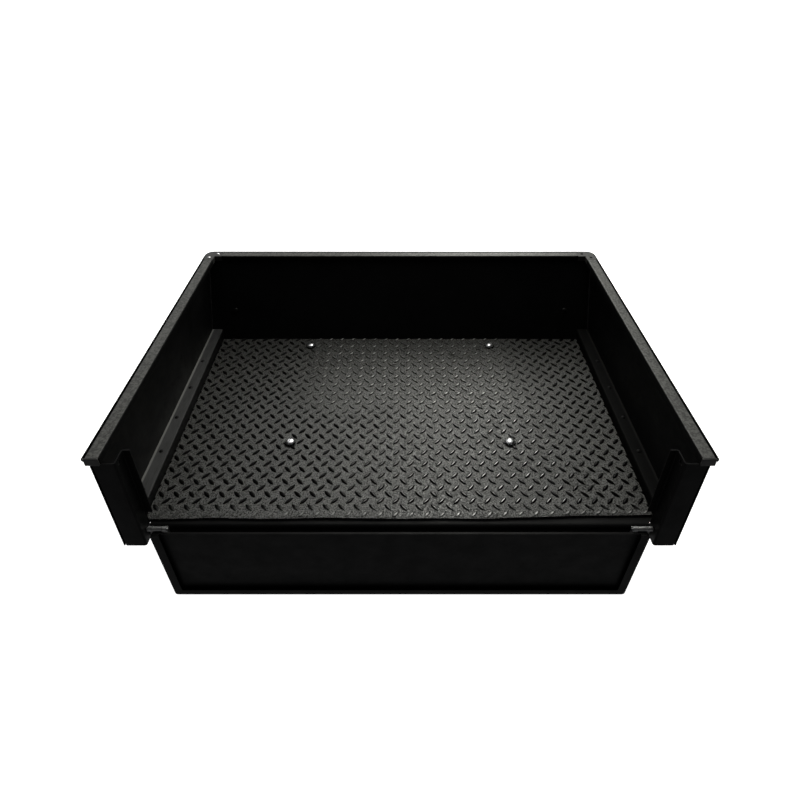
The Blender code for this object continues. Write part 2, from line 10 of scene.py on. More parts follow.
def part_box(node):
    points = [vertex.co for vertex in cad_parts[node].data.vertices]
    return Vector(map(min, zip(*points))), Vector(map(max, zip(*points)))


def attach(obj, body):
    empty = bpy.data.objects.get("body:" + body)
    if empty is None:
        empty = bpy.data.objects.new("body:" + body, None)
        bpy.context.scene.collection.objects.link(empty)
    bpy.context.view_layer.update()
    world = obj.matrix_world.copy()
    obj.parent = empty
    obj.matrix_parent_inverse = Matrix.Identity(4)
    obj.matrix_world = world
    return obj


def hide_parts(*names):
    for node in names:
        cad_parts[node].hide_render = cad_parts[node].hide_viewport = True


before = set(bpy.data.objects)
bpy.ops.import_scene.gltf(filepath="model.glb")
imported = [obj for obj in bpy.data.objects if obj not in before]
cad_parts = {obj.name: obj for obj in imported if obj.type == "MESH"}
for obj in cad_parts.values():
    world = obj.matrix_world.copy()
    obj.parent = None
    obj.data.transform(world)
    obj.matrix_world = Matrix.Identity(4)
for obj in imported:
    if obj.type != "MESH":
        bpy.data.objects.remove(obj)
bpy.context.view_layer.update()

# Sizes are in metres, angles in degrees, the lens in millimetres and its shift in picture widths
CAMERA_PLACE = (0.0, -1.0155, 1.0639)
CAMERA_LOOKS_DOWN = 31.84
CAMERA_LENS = 25.02
CAMERA_SHIFT = -0.15
FLOOR_BELOW = 0.0005

# Liner treads: two sets of lens-shaped bars at right angles, each on a square lattice
TREAD_PITCH = 0.0326
TREAD_COLUMNS = range(-18, 19)
TREAD_ROWS = range(-2, 22)
TREAD_X = 0.0074
TREAD_Y = -0.2742
TREAD_HALF_LENGTH = 0.0106
TREAD_HALF_WIDTH = 0.0033
TREAD_HEIGHT = 0.0027
TREAD_SIDE_STEPS = 4
WELD_DISTANCE = 0.00002

# The mat lies flat around its bolts, with a painted shadow ring round each, and droops and wears along its
# rear edge, where its crests also get a painted highlight
BOLT_CLEAR = 0.0122
BOLT_FADE = 0.0030
# Painted shadow ring round each bolt head, shifted towards the rear
BOLT_SHADOW_BACK = 0.0045
BOLT_SHADOW_RADIUS = 0.0125
BOLT_SHADOW_FADE = 0.0025
DEEPEST_DIP = 0.0018
EDGE_DROOP = 0.0016
EDGE_DROOP_REACH = 0.012
EDGE_WORN_REACH = 0.030

# Black strip outside the top rails, standing in for their shaded outer edge as painted shade.
# Its profile is in shares of its width outwards and height downwards
CAP_RADIUS = 0.018
CAP_STEPS = 12
TRIM_WIDTH = 0.0055
TRIM_HEIGHT = 0.0090
TRIM_BELOW_RAIL = 0.0006
TRIM_PROFILE = ((-0.0004, 0.0), (0.5, 0.0), (0.85, 0.15), (1.0, 0.45), (1.0, 1.0), (-0.0004, 1.0))

# Cap rivets: how far in from the cap's outer side and from its front
RIVET_RADIUS = 0.0042
RIVET_FLATTENED = 0.55
RIVET_PLACES = ((0.013, 0.034), (0.034, 0.013))

# Rounding of the edges of the frame's pieces, by a part of their name
EDGE_WELD_DISTANCE = 0.00003
EDGE_BEVEL_ANGLE = 40.0
EDGE_SMOOTH_ANGLE = 38.0
EDGE_WIDTH = 0.0006
EDGE_WIDTHS = (
    ("mat_bolt", 0.0003), ("ledge_screw", 0.0002), ("headboard_bolt", 0.0002), ("hinge", 0.0004),
    ("mat_washer", 0.0002), ("mat_nut", 0.0005), ("headboard_nut", 0.0004), ("latch_bolt", 0.0004),
    ("latch_housing", 0.0008), ("rail_end_cap", 0.0003))

# Brightness of the studio from straight down (0) past the horizon (0.5) to overhead (1)
WORLD_LEVELS = ((0.001, 0.17), (0.46, 0.13), (0.52, 0.02), (0.75, 0.03), (0.999, 0.06))

# What a pale wall past the headboard and a pale floor below it add to that, on the same scale
WALL_LEVELS = (
    (0.001, 0.3), (0.40, 0.3), (0.52, 0.0), (0.56, 0.65), (0.78, 0.65), (0.86, 0.15), (0.999, 0.0))

MAT_LOW, MAT_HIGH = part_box("bed_mat")
LEDGE_WALL_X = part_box("right_ledge")[1].x
RAIL_OUTER = Vector((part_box("right_top_rail")[1].x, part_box("headboard_rail")[1].y))
RAIL_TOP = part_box("right_top_rail")[1].z
RAIL_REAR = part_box("right_top_rail")[0].y
SIDES = (("left", -1.0), ("right", 1.0))


def mesh_object(bm, name, sharp_degrees=None):
    """A smooth-shaded object of the mesh, with sharp edges past the angle if one is given."""
    mesh = bpy.data.meshes.new(name)
    bm.to_mesh(mesh)
    bm.free()
    mesh.shade_smooth()
    if sharp_degrees:
        mesh.set_sharp_from_angle(angle=math.radians(sharp_degrees))
    obj = bpy.data.objects.new(name, mesh)
    bpy.context.scene.collection.objects.link(obj)
    return obj


# ---------------------------------------------------------------- camera, floor and light

def make_camera():
    """A wide camera behind and above the open tailgate."""
    data = bpy.data.cameras.new("camera")
    data.sensor_width = 36.0
    data.lens = CAMERA_LENS
    data.shift_y = CAMERA_SHIFT
    data.clip_end = 100.0
    camera = bpy.data.objects.new("camera", data)
    camera.location = CAMERA_PLACE
    camera.rotation_euler = (math.radians(90.0 - CAMERA_LOOKS_DOWN), 0.0, 0.0)
    bpy.context.scene.collection.objects.link(camera)
    bpy.context.scene.camera = camera


def make_floor():
    """White floor just below the hanging tailgate, which doesn't light or show in the black paint."""
    lowest = min(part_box(name)[0].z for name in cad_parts)
    bm = bmesh.new()
    bmesh.ops.create_grid(bm, x_segments=1, y_segments=1, size=40.0)
    floor = mesh_object(bm, "studio_floor")
    floor.location.z = lowest - FLOOR_BELOW
    material = bpy.data.materials.new("studio_floor")
    material.use_nodes = True
    shader = material.node_tree.nodes["Principled BSDF"]
    shader.inputs["Base Color"].default_value = (0.9, 0.9, 0.9, 1.0)
    shader.inputs["Roughness"].default_value = 0.9
    shader.inputs["Specular IOR Level"].default_value = 0.1
    shader.inputs["Emission Color"].default_value = (1.0, 1.0, 1.0, 1.0)
    shader.inputs["Emission Strength"].default_value = 1.0
    floor.data.materials.append(material)
    floor.visible_glossy = False
    floor.visible_diffuse = False


def add_area(name, location, target, size, power, colour=(1.0, 1.0, 1.0)):
    """An area light at the location, turned towards the target and hidden from the camera."""
    data = bpy.data.lights.new(name, "AREA")
    data.shape = "RECTANGLE"
    data.size, data.size_y = size
    data.energy = power
    data.color = colour
    light = bpy.data.objects.new(name, data)
    light.location = location
    light.visible_camera = False
    light.rotation_euler = (Vector(target) - Vector(location)).to_track_quat("-Z", "Y").to_euler()
    bpy.context.scene.collection.objects.link(light)


def make_world():
    """A dim studio with a pale wall past the headboard, which the camera itself sees as plain white."""
    world = bpy.data.worlds.new("studio")
    world.use_nodes = True
    nodes, links = world.node_tree.nodes, world.node_tree.links
    background = nodes["Background"]
    coords = nodes.new("ShaderNodeTexCoord")
    split = nodes.new("ShaderNodeSeparateXYZ")
    links.new(coords.outputs["Generated"], split.inputs[0])
    place = nodes.new("ShaderNodeMapRange")
    place.inputs["From Min"].default_value = -1.0
    links.new(split.outputs["Z"], place.inputs["Value"])

    def ramp(levels):
        """A colour ramp with these stops only, so the two that it starts with are taken out."""
        node = nodes.new("ShaderNodeValToRGB")
        for position, level in levels:
            stop = node.color_ramp.elements.new(position)
            stop.color = (level, level, level, 1.0)
        node.color_ramp.elements.remove(node.color_ramp.elements[0])
        node.color_ramp.elements.remove(node.color_ramp.elements[-1])
        links.new(place.outputs[0], node.inputs[0])
        return node.outputs[0]

    behind = nodes.new("ShaderNodeMapRange")
    behind.inputs["From Min"].default_value = 0.0
    behind.inputs["From Max"].default_value = 0.35
    links.new(split.outputs["Y"], behind.inputs["Value"])
    wall = nodes.new("ShaderNodeMath")
    wall.operation = "MULTIPLY_ADD"
    links.new(ramp(WALL_LEVELS), wall.inputs[0])
    links.new(behind.outputs[0], wall.inputs[1])
    links.new(ramp(WORLD_LEVELS), wall.inputs[2])
    seen = nodes.new("ShaderNodeLightPath")
    backdrop = nodes.new("ShaderNodeMix")
    backdrop.data_type = "RGBA"
    links.new(seen.outputs["Is Camera Ray"], backdrop.inputs["Factor"])
    links.new(wall.outputs[0], backdrop.inputs[6])
    backdrop.inputs[7].default_value = (1.0, 1.0, 1.0, 1.0)
    links.new(backdrop.outputs[2], background.inputs["Color"])
    bpy.context.scene.world = world


def make_lights():
    """Softboxes past the headboard, overhead and to the left, and a low one beside each outer wall."""
    add_area(
        "softbox_behind", (0.38, 1.35, 1.75), (0.10, 0.0, 0.04), (0.70, 2.2), 36.0, colour=(1.0, 1.0, 0.93))
    add_area("softbox_overhead", (0.0, 0.25, 2.30), (0.0, 0.10, 0.04), (2.6, 1.1), 7.0)
    add_area("softbox_left", (-1.55, 1.80, 1.80), (-0.55, 0.0, 0.05), (0.6, 1.6), 2.4)
    for side, sign in SIDES:
        add_area(f"outer_{side}", (2.2 * sign, 0.10, 0.0), (0.0, 0.10, 0.0), (1.2, 0.32), 16.0)


# ---------------------------------------------------------------- materials

class Surface:
    """A Principled material with helpers that chain procedural texture nodes."""

    def __init__(self, name, roughness=0.5, metallic=0.0, specular=0.5):
        self.material = bpy.data.materials.new(name)
        self.material.use_nodes = True
        self.tree = self.material.node_tree
        self.shader = self.tree.nodes["Principled BSDF"]
        self.shader.inputs["Roughness"].default_value = roughness
        self.shader.inputs["Metallic"].default_value = metallic
        self.shader.inputs["Specular IOR Level"].default_value = specular
        self.place = self.tree.nodes.new("ShaderNodeTexCoord")
        self.coords = self.place.outputs["Object"]
        self.normal = None

    def link(self, source, target):
        self.tree.links.new(source, target)

    def stretched(self, scale):
        node = self.tree.nodes.new("ShaderNodeMapping")
        node.inputs["Scale"].default_value = scale
        self.link(self.coords, node.inputs["Vector"])
        return node.outputs[0]

    def noise(self, scale, detail=2.0, roughness=0.5, distortion=0.0, coords=None):
        node = self.tree.nodes.new("ShaderNodeTexNoise")
        node.inputs["Scale"].default_value = scale
        node.inputs["Detail"].default_value = detail
        node.inputs["Roughness"].default_value = roughness
        node.inputs["Distortion"].default_value = distortion
        self.link(coords or self.coords, node.inputs["Vector"])
        return node.outputs["Fac"]

    def cells(self, scale):
        node = self.tree.nodes.new("ShaderNodeTexVoronoi")
        node.inputs["Scale"].default_value = scale
        self.link(self.coords, node.inputs["Vector"])
        return node

    def spread(self, value, low, high, out_low, out_high):
        """Value between low and high, mapped to the output range and held there."""
        node = self.tree.nodes.new("ShaderNodeMapRange")
        for index, number in enumerate((low, high, out_low, out_high)):
            node.inputs[index + 1].default_value = number
        self.link(value, node.inputs[0])
        return node.outputs[0]

    def maths(self, operation, first, second=0.0):
        node = self.tree.nodes.new("ShaderNodeMath")
        node.operation = operation
        for index, value in enumerate((first, second)):
            if isinstance(value, (int, float)):
                node.inputs[index].default_value = value
            else:
                self.link(value, node.inputs[index])
        return node.outputs[0]

    def mix(self, factor, first, second):
        node = self.tree.nodes.new("ShaderNodeMix")
        node.data_type = "RGBA"
        self.link(factor, node.inputs["Factor"])
        for value, socket in ((first, node.inputs[6]), (second, node.inputs[7])):
            if isinstance(value, tuple):
                socket.default_value = (*value, 1.0)
            else:
                self.link(value, socket)
        return node.outputs[2]

    def colour(self, value):
        self.link(value, self.shader.inputs["Base Color"])

    def rough(self, value):
        self.link(value, self.shader.inputs["Roughness"])

    def gloss(self, value):
        self.link(value, self.shader.inputs["Specular IOR Level"])

    def bump(self, height, strength, distance):
        node = self.tree.nodes.new("ShaderNodeBump")
        node.inputs["Strength"].default_value = strength
        node.inputs["Distance"].default_value = distance
        self.link(height, node.inputs["Height"])
        if self.normal:
            self.link(self.normal, node.inputs["Normal"])
        self.normal = node.outputs[0]
        self.link(self.normal, self.shader.inputs["Normal"])

    def part(self, source, axis):
        """One axis of a texture coordinate of the piece, such as its place or its normal."""
        split = self.tree.nodes.new("ShaderNodeSeparateXYZ")
        self.link(source, split.inputs[0])
        return split.outputs[axis]

    def facing_up(self, low, high):
        """One where the piece's surface faces up, and zero where it faces sideways."""
        return self.spread(self.part(self.place.outputs["Normal"], "Z"), low, high, 0.0, 1.0)

    def painted(self, name):
        """A value stored on the mesh's points."""
        node = self.tree.nodes.new("ShaderNodeAttribute")
        node.attribute_name = name
        return node.outputs["Fac"]


def powder_coat(name, dark, light, dust, roughness, specular):
    """Powder-coated steel: orange peel, faint cloudy tone, fine dust and a few scuffs."""
    paint = Surface(name, specular=specular)
    cloud = paint.spread(paint.noise(7.0, 4.0, 0.6), 0.35, 0.65, 0.0, 1.0)
    tone = paint.mix(cloud, dark, light)
    speck = paint.spread(paint.noise(900.0, 2.0, 0.7), 0.66, 0.76, 0.0, 0.5)
    patch = paint.spread(paint.noise(14.0, 3.0, 0.6), 0.40, 0.70, 0.1, 1.0)
    dust_and_sheen = paint.mix(paint.maths("MULTIPLY", speck, patch), tone, dust)
    scuffs = paint.noise(55.0, 5.0, 0.7, 1.2, paint.stretched((1.0, 0.25, 0.6)))
    paint.colour(paint.mix(paint.spread(scuffs, 0.66, 0.72, 0.0, 0.25), dust_and_sheen, dust))
    worn = paint.spread(paint.noise(22.0, 4.0, 0.6), 0.3, 0.7, roughness - 0.06, roughness + 0.08)
    paint.rough(paint.maths("ADD", worn, paint.spread(scuffs, 0.6, 0.72, 0.0, 0.12)))
    paint.bump(paint.noise(420.0, 2.0, 0.5), 0.35, 0.0002)
    paint.bump(paint.noise(18.0, 2.0, 0.5), 0.25, 0.0015)
    return paint.material


def ledge_coat():
    """Black ledges whose flat tops get a grey painted sheen broken by streaky grain, strongest to the left,
    with a painted highlight line along the wall.
    """
    paint = Surface("ledge_satin_painted_sheen", specular=0.5)
    across = paint.part(paint.coords, "X")
    top = paint.facing_up(0.93, 0.99)
    grain = paint.noise(60.0, 4.0, 0.7, 0.5, paint.stretched((3.0, 0.5, 1.0)))
    # Painted sheen: brightest on the left and fading to the right, broken into streaks by the grain
    left = paint.spread(across, -0.45, 0.45, 1.0, 0.06)
    sheen_streaks = paint.maths("MULTIPLY", paint.spread(grain, 0.3, 0.7, 0.4, 1.0), left)
    dust_and_sheen = paint.mix(sheen_streaks, (0.005, 0.005, 0.005), (0.052, 0.052, 0.053))
    # Painted highlight: a light line along the ledge's edge by the wall, mostly on the left
    wall_highlight_line = paint.spread(
        paint.maths("ABSOLUTE", across), LEDGE_WALL_X - 0.0065, LEDGE_WALL_X - 0.0045, 0.0, 0.8)
    wall_highlighted = paint.mix(paint.maths("MULTIPLY", wall_highlight_line, left), dust_and_sheen, (0.19, 0.19, 0.18))
    # Painted sheen on the flat tops, the sides painted near black
    paint.colour(paint.mix(top, (0.004, 0.004, 0.004), wall_highlighted))
    paint.gloss(paint.maths("MULTIPLY", paint.spread(top, 0.0, 1.0, 0.08, 0.5), left))
    paint.rough(paint.spread(paint.noise(40.0, 4.0, 0.6), 0.3, 0.7, 0.34, 0.50))
    paint.bump(paint.noise(420.0, 2.0, 0.5), 0.35, 0.0002)
    return paint.material


def rail_coat():
    """Black rails whose flat tops get a finely mottled grey painted sheen."""
    paint = Surface("rail_painted_top_sheen", specular=0.4)
    cloud = paint.spread(paint.noise(9.0, 4.0, 0.6), 0.35, 0.65, 0.0, 1.0)
    tone = paint.mix(cloud, (0.024, 0.024, 0.022), (0.037, 0.037, 0.034))
    mottle = paint.spread(paint.noise(190.0, 3.0, 0.7), 0.42, 0.58, 0.0, 1.0)
    # Painted sheen: the flat tops are painted mottled grey and the sides near black
    grey = paint.mix(mottle, tone, (0.096, 0.096, 0.089))
    top = paint.facing_up(0.80, 0.97)
    paint.colour(paint.mix(top, (0.004, 0.004, 0.004), grey))
    paint.gloss(paint.spread(top, 0.0, 1.0, 0.06, 0.4))
    paint.rough(paint.spread(paint.noise(35.0, 4.0, 0.6), 0.3, 0.7, 0.42, 0.56))
    paint.bump(paint.noise(700.0, 2.0, 0.6), 0.3, 0.0002)
    return paint.material


def cap_plastic():
    """Moulded dark grey plastic with a fine pebble grain."""
    plastic = Surface("moulded_grey_black", specular=0.45)
    cloud = plastic.spread(plastic.noise(40.0, 3.0, 0.6), 0.35, 0.65, 0.0, 1.0)
    plastic.colour(plastic.mix(cloud, (0.020, 0.020, 0.019), (0.038, 0.037, 0.035)))
    plastic.rough(plastic.spread(plastic.noise(120.0, 3.0, 0.6), 0.3, 0.7, 0.38, 0.55))
    plastic.bump(plastic.cells(1100.0).outputs["Distance"], 0.35, 0.0002)
    return plastic.material


def bolt_painted_shadow(rubber):
    """Painted shadow on the mat around each bolt head, widest towards the rear."""
    near = None
    for centre in bolt_centres():
        span = rubber.tree.nodes.new("ShaderNodeVectorMath")
        span.operation = "DISTANCE"
        span.inputs[1].default_value = (centre.x, centre.y - BOLT_SHADOW_BACK, MAT_HIGH.z)
        rubber.link(rubber.coords, span.inputs[0])
        reach = span.outputs["Value"]
        near = rubber.maths("MINIMUM", near, reach) if near else reach
    return rubber.spread(near, BOLT_SHADOW_RADIUS, BOLT_SHADOW_RADIUS + BOLT_SHADOW_FADE, 1.0, 0.0)


def mat_rubber():
    """Moulded rubber: leathery grain, cloudy tone, painted shade on the tread sides, glossy crests, and a
    painted light patch with lighter tread shade and painted crest highlights.
    """
    rubber = Surface("charcoal_moulded_rubber")
    cloud = rubber.spread(rubber.noise(5.0, 4.0, 0.65), 0.35, 0.65, 0.0, 1.0)
    tone = rubber.mix(cloud, (0.006, 0.006, 0.0055), (0.011, 0.011, 0.0101))
    grain = rubber.spread(rubber.noise(300.0, 4.0, 0.8), 0.43, 0.58, 0.0, 1.0)
    grained = rubber.mix(grain, tone, (0.060, 0.060, 0.056))
    # tread_bar marks the tread sides that get painted shade, tread_crest the crests that get coat and
    # painted highlight
    bar = rubber.painted("tread_bar")
    crest = rubber.painted("tread_crest")
    lit_patch = rubber.painted("tread_lit_patch")
    outside_lit_patch = rubber.maths("SUBTRACT", 1.0, rubber.maths("MULTIPLY", lit_patch, 0.75))
    # Painted shade on the tread sides and round the bolts, lighter inside the painted light patch
    dark = rubber.maths("MAXIMUM", rubber.maths("MULTIPLY", bar, outside_lit_patch), bolt_painted_shadow(rubber))
    shaded = rubber.mix(dark, grained, (0.001, 0.001, 0.001))
    # Painted crest highlights: crests are painted light grey inside the painted light patch
    painted_crest_highlight = rubber.maths("MULTIPLY", rubber.maths("MULTIPLY", crest, lit_patch), 0.9)
    rubber.colour(rubber.mix(painted_crest_highlight, shaded, (0.45, 0.45, 0.43)))
    base = rubber.spread(rubber.noise(30.0, 4.0, 0.6), 0.3, 0.7, 0.26, 0.36)
    rubber.rough(rubber.maths("SUBTRACT", base, rubber.maths("MULTIPLY", crest, 0.14)))
    flat = rubber.maths("SUBTRACT", 1.0, rubber.maths("MULTIPLY", dark, 0.99))
    rubber.gloss(rubber.maths("MULTIPLY", rubber.spread(grain, 0.0, 1.0, 0.10, 0.80), flat))
    rubber.link(crest, rubber.shader.inputs["Coat Weight"])
    rubber.shader.inputs["Coat Roughness"].default_value = 0.24
    rubber.shader.inputs["Coat IOR"].default_value = 2.1
    rubber.bump(rubber.noise(1300.0, 3.0, 0.65), 0.4, 0.0002)
    rubber.bump(grain, 0.45, 0.0004)
    return rubber.material


def plated(name, tone, warm, roughness, spangle, strength):
    """Plated steel with spangle, fine rubbing marks and a slightly uneven gloss."""
    metal = Surface(name, metallic=1.0)
    flakes = metal.spread(metal.cells(spangle).outputs["Color"], 0.0, 1.0, 0.0, 1.0)
    mottle = metal.maths("MULTIPLY", flakes, metal.spread(metal.noise(90.0, 3.0, 0.6), 0.3, 0.7, 0.2, 1.0))
    metal.colour(metal.mix(mottle, tone, warm))
    metal.rough(metal.spread(metal.noise(260.0, 4.0, 0.65), 0.3, 0.7, roughness - 0.06, roughness + 0.10))
    metal.bump(metal.noise(1400.0, 3.0, 0.6), strength, 0.0001)
    return metal.material


def make_materials():
    return {
        "black_powder_coat": powder_coat(
            "black_powder_coat_fine", (0.0022, 0.0022, 0.0023), (0.0042, 0.0042, 0.0044),
            (0.022, 0.021, 0.020), 0.50, 0.11),
        # Very dark, matt coat for the painted shade strip outside the rails
        "edge_shade_coat": powder_coat(
            "edge_shade_matt", (0.0010, 0.0010, 0.0010), (0.0020, 0.0020, 0.0020),
            (0.010, 0.010, 0.009), 0.80, 0.02),
        "ledge_powder_coat": ledge_coat(),
        "grey_rail": rail_coat(),
        "grey_black_plastic": cap_plastic(),
        "charcoal_rubber": mat_rubber(),
        "bright_bolt": plated(
            "bright_bolt_polished", (0.90, 0.90, 0.91), (0.96, 0.96, 0.95), 0.23, 900.0, 0.12),
        "zinc_plate": plated("zinc_plate_dull", (0.42, 0.43, 0.44), (0.56, 0.55, 0.52), 0.36, 700.0, 0.25),
        "dark_screw": plated(
            "dark_screw_plate", (0.012, 0.012, 0.012), (0.03, 0.03, 0.03), 0.52, 900.0, 0.2)}


# ---------------------------------------------------------------- rounded edges on the frame's pieces

def smooth_group():
    """Geometry nodes that shade smooth, except across edges sharper than the angle."""
    group = bpy.data.node_groups.new("smooth_by_angle", "GeometryNodeTree")
    group.interface.new_socket("Geometry", in_out="INPUT", socket_type="NodeSocketGeometry")
    group.interface.new_socket("Geometry", in_out="OUTPUT", socket_type="NodeSocketGeometry")
    start = group.nodes.new("NodeGroupInput")
    end = group.nodes.new("NodeGroupOutput")
    faces = group.nodes.new("GeometryNodeSetShadeSmooth")
    faces.domain = "FACE"
    edges = group.nodes.new("GeometryNodeSetShadeSmooth")
    edges.domain = "EDGE"
    angle = group.nodes.new("GeometryNodeInputMeshEdgeAngle")
    test = group.nodes.new("FunctionNodeCompare")
    test.operation = "LESS_THAN"
    test.inputs["B"].default_value = math.radians(EDGE_SMOOTH_ANGLE)
    group.links.new(start.outputs[0], faces.inputs["Geometry"])
    group.links.new(faces.outputs[0], edges.inputs["Geometry"])
    group.links.new(angle.outputs["Unsigned Angle"], test.inputs["A"])
    group.links.new(test.outputs[0], edges.inputs["Shade Smooth"])
    group.links.new(edges.outputs[0], end.inputs[0])
    return group


def soften(obj, width, group):
    """Rounded, smooth-shaded edges, made by modifiers so that the frame's mesh stays as it is."""
    weld = obj.modifiers.new("weld", "WELD")
    weld.merge_threshold = EDGE_WELD_DISTANCE
    bevel = obj.modifiers.new("rounded_edges", "BEVEL")
    bevel.width = width
    bevel.segments = 2
    bevel.limit_method = "ANGLE"
    bevel.angle_limit = math.radians(EDGE_BEVEL_ANGLE)
    smooth = obj.modifiers.new("smooth", "NODES")
    smooth.node_group = group
    weighted = obj.modifiers.new("even_faces", "WEIGHTED_NORMAL")
    weighted.keep_sharp = True


def dress_frame(materials):
    """Every piece of the frame gets its edges and its material, apart from the plain mat."""
    group = smooth_group()
    for name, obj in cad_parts.items():
        if name == "bed_mat":
            continue
        width = next((value for part, value in EDGE_WIDTHS if part in name), EDGE_WIDTH)
        soften(obj, width, group)
        obj.data.materials[0] = materials[obj.data.materials[0].name]


# ---------------------------------------------------------------- liner mat

def bolt_centres():
    """Where the four floor bolts stand, seen from above."""
    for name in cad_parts:
        if name.startswith("mat_bolt"):
            low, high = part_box(name)
            yield Vector(((low.x + high.x) / 2, (low.y + high.y) / 2))


def smooth_step(value, low, high):
    """Zero below low, one above high, with an even curve between them."""
    share = min(max((value - low) / (high - low), 0.0), 1.0)
    return share * share * (3.0 - 2.0 * share)


def tread_cell(bm, layers, centre, slope):
    """One square cell of the mat, turned 45 degrees, with a lens-shaped bar along it.

    Each ring has its outline, its height, how much painted shade the bar gets there and how much crest coat
    and painted highlight it gets. Bars along the falling diagonal also get that painted highlight along one
    flank, and less on their crests.
    """
    half = TREAD_PITCH / math.sqrt(8.0)
    along = Vector((1.0, slope)).normalized()
    across = Vector((-along.y, along.x))
    count = 4 * TREAD_SIDE_STEPS
    border = []
    for index in range(count):
        side, step = divmod(index + TREAD_SIDE_STEPS // 2, TREAD_SIDE_STEPS)
        slide = 2.0 * step / TREAD_SIDE_STEPS - 1.0
        corner = [(1.0, slide), (-slide, 1.0), (-1.0, -slide), (slide, -1.0)][side % 4]
        border.append((corner[0] * half, corner[1] * half))
    arc = (TREAD_HALF_LENGTH ** 2 + TREAD_HALF_WIDTH ** 2) / (2.0 * TREAD_HALF_WIDTH)

    def lens(shrink, length):
        """Outline of the bar at this half length, with its half width times the shrink."""
        points = []
        for index in range(count):
            angle = 2.0 * math.pi * index / count
            u = math.cos(angle) * length
            full = math.sqrt(arc ** 2 - (u * TREAD_HALF_LENGTH / length) ** 2) - (arc - TREAD_HALF_WIDTH)
            v = max(full, 0.0) * shrink
            points.append((u, v if math.sin(angle) >= 0.0 else -v))
        return points

    rings = [
        (border, 0.0, 0.0, 0.0),
        (lens(1.50, TREAD_HALF_LENGTH + 0.0014), 0.0, 0.0, 0.0),
        (lens(1.20, TREAD_HALF_LENGTH + 0.0006), 0.0, 1.0, 0.0),
        (lens(1.02, TREAD_HALF_LENGTH), 0.0003, 1.0, 0.0),
        (lens(0.64, TREAD_HALF_LENGTH - 0.0010), TREAD_HEIGHT * 0.84, 1.0, 0.0),
        (lens(0.34, TREAD_HALF_LENGTH - 0.0022), TREAD_HEIGHT, 1.0, 1.0)]
    loops = []
    for points, height, bar, crest in rings:
        loop = []
        for u, v in points:
            place = centre + along * u + across * v
            vert = bm.verts.new((place.x, place.y, height))
            share = crest
            if slope < 0.0:
                share = min(max(crest, 0.25), 0.75) if v > 0.0 and height > 0.001 else 0.0
            vert[layers["bar"]] = bar
            ends = 1.0 - 0.25 * smooth_step(abs(u), 0.003, 0.007)
            dot = 1.0 - smooth_step(abs(u), 0.002, 0.006)
            vert[layers["crest"]] = share * (ends + (dot - ends) * lit_patch_place(centre))
            loop.append(vert)
        loops.append(loop)
    for outer, inner in zip(loops, loops[1:]):
        for index in range(count):
            other = (index + 1) % count
            bm.faces.new((outer[index], outer[other], inner[other], inner[index]))
    top = loops[-1]
    bm.faces.new((top[1], top[0], top[-1]))
    half_count = count // 2
    bm.faces.new((top[half_count - 1], top[half_count + 1], top[half_count]))
    for index in range(1, half_count - 1):
        bm.faces.new((top[index], top[-index], top[-index - 1], top[index + 1]))


def lit_patch_place(point):
    """How much of the painted light patch a point gets, with lighter tread shade and painted crest
    highlights: in the middle near the headboard, and along the rear edge.
    """
    middle = 1.0 - smooth_step(abs(point.x - 0.02), 0.20, 0.33)
    far = smooth_step(point.y + 0.05 * noise.noise(Vector((point.x * 6.0, 0.7, 0.0))), -0.03, 0.05)
    edge = 1.0 - smooth_step(point.y - MAT_LOW.y, 0.012, EDGE_WORN_REACH)
    return max(middle * far, edge * (1.0 - 0.7 * smooth_step(-point.x, 0.15, 0.45)))


def edge_inset(point):
    """The rear edge is cut a little unevenly, and furthest in at the right-hand end."""
    share = max(1.0 - (point.y - MAT_LOW.y) / EDGE_WORN_REACH, 0.0)
    wave = 0.0012 + 0.0026 * noise.noise(Vector((point.x * 9.0, 3.3, 0.0)))
    return share ** 1.5 * (max(wave, 0.0) + 0.0075 * smooth_step(point.x, 0.10, 0.50))


def mat_surface(point, bolts):
    """Rise of the mat's face at a point, and how much of the tread height stands there."""
    rise = 0.0009 * noise.noise(Vector((point.x * 5.0, point.y * 7.0, 0.3)))
    rise += 0.0005 * noise.noise(Vector((point.x * 15.0, point.y * 15.0, 4.1)))
    rear = point.y - MAT_LOW.y
    stands = 0.35 + 0.65 * smooth_step(rear, 0.004, EDGE_WORN_REACH)
    if rear < EDGE_DROOP_REACH:
        share = 1.0 - rear / EDGE_DROOP_REACH
        ripple = 0.6 + 0.8 * noise.noise(Vector((point.x * 22.0, 1.7, 0.0)))
        rise -= EDGE_DROOP * share ** 2 * ripple
    for bolt in bolts:
        reach = (Vector((point.x, point.y)) - bolt).length
        if reach < BOLT_CLEAR + BOLT_FADE:
            share = min(max((reach - BOLT_CLEAR) / BOLT_FADE, 0.0), 1.0)
            stands *= share
            rise *= share
    return max(rise, -DEEPEST_DIP), stands


def crest_light_pool(x):
    """Tread crests get the most coat and painted highlight on the right of the middle, fading towards both
    sides like a pool of light.
    """
    lit = smooth_step(x, -0.22, 0.22) * (1.0 - smooth_step(x, 0.30, 0.44))
    return 0.12 + 0.88 * lit


